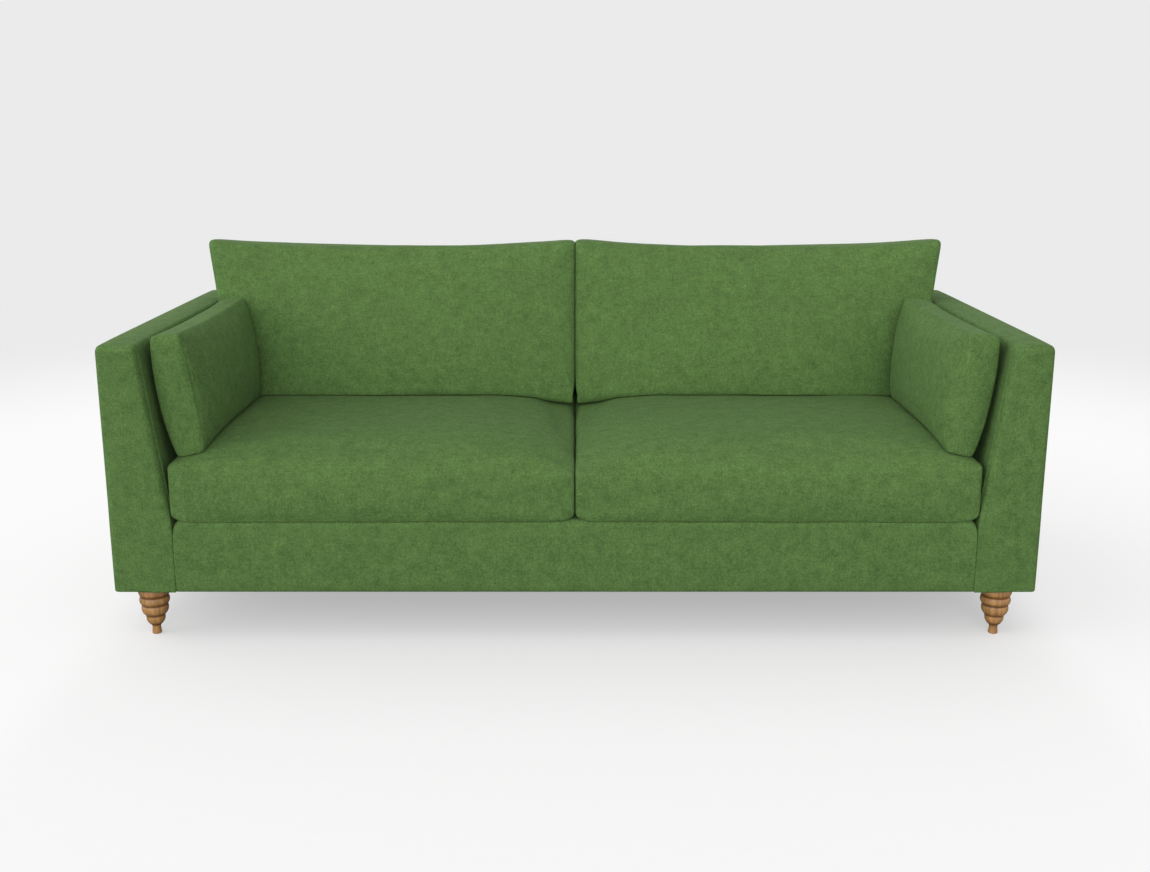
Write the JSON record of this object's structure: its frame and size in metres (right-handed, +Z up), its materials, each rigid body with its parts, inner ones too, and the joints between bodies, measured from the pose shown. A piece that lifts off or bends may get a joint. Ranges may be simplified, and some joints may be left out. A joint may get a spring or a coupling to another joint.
{
  "type": "sofa",
  "caption": "Upholstered sofa with outward-leaning arms, loose boxed seat and back cushions, loose arm bolsters and short turned wooden front legs.",
  "frame": {"origin": "on the floor under the middle of the sofa's outline", "axes": "+X along the sofa to the viewer's right, -Y out of the front, +Z up"},
  "size_m": [2.25, 1.04, 0.9176],
  "materials": {
    "upholstery": "mottled green chenille",
    "filling": "matt foam and fibre",
    "platform_cloth": "plain dark green cloth",
    "dust_cloth": "black non-woven cloth",
    "webbing": "elastic webbing",
    "steel": "zinc plated",
    "leg_wood": "clear satin",
    "hardboard": "raw",
    "timber": "raw sawn"
  },
  "bodies": {
    "frame": {"arm_back_post_left": "timber", "arm_back_post_right": "timber", "arm_base_rail_left": "timber", "arm_base_rail_right": "timber", "arm_bolts": "steel", "arm_cover_left": "upholstery", "arm_cover_right": "upholstery", "arm_front_post_left": "timber", "arm_front_post_right": "timber", "arm_inner_board_left": "hardboard", "arm_inner_board_right": "hardboard", "arm_outer_board_left": "hardboard", "arm_outer_board_right": "hardboard", "arm_top_rail_left": "timber", "arm_top_rail_right": "timber", "back_board": "hardboard", "back_bolts": "steel", "back_bottom_rail": "timber", "back_cover": "upholstery", "back_end_bolts": "steel", "back_leg_left": "leg_wood", "back_leg_right": "leg_wood", "back_middle_rail": "timber", "back_post_centre": "timber", "back_post_left": "timber", "back_post_right": "timber", "back_top_rail": "timber", "back_webbing": "webbing", "dust_cover": "dust_cloth", "front_leg_left": "leg_wood", "front_leg_right": "leg_wood", "leg_hanger_bolts": "steel", "leg_tee_nuts": "steel", "seat_back_rail": "timber", "seat_centre_rail": "timber", "seat_corner_blocks": "timber", "seat_cross_webbing": "webbing", "seat_end_rail_left": "timber", "seat_end_rail_right": "timber", "seat_front_border": "upholstery", "seat_front_rail": "timber", "seat_platform": "platform_cloth", "seat_webbing": "webbing"},
    "seat_cushion_left": {"seat_cushion_cover_left": "upholstery", "seat_cushion_core_left": "filling"},
    "back_cushion_left": {"back_cushion_cover_left": "upholstery", "back_cushion_core_left": "filling"},
    "arm_bolster_left": {"arm_bolster_cover_left": "upholstery", "arm_bolster_core_left": "filling"},
    "seat_cushion_right": {"seat_cushion_cover_right": "upholstery", "seat_cushion_core_right": "filling"},
    "back_cushion_right": {"back_cushion_cover_right": "upholstery", "back_cushion_core_right": "filling"},
    "arm_bolster_right": {"arm_bolster_cover_right": "upholstery", "arm_bolster_core_right": "filling"}
  },
  "joints": [
    {"name": "seat_cushion_left_lift", "type": "slide", "parent": "frame", "child": "seat_cushion_left", "axis": [0, 0, 1], "range_m": [0, 0.45]},
    {"name": "back_cushion_left_lift", "type": "slide", "parent": "seat_cushion_left", "child": "back_cushion_left", "axis": [0, 0.1746, 0.9846], "range_m": [0, 0.45]},
    {"name": "arm_bolster_left_lift", "type": "slide", "parent": "seat_cushion_left", "child": "arm_bolster_left", "axis": [0, 0, 1], "range_m": [0, 0.35]},
    {"name": "seat_cushion_right_lift", "type": "slide", "parent": "frame", "child": "seat_cushion_right", "axis": [0, 0, 1], "range_m": [0, 0.45]},
    {"name": "back_cushion_right_lift", "type": "slide", "parent": "seat_cushion_right", "child": "back_cushion_right", "axis": [0, 0.1746, 0.9846], "range_m": [0, 0.45]},
    {"name": "arm_bolster_right_lift", "type": "slide", "parent": "seat_cushion_right", "child": "arm_bolster_right", "axis": [0, 0, 1], "range_m": [0, 0.35]}
  ]
}
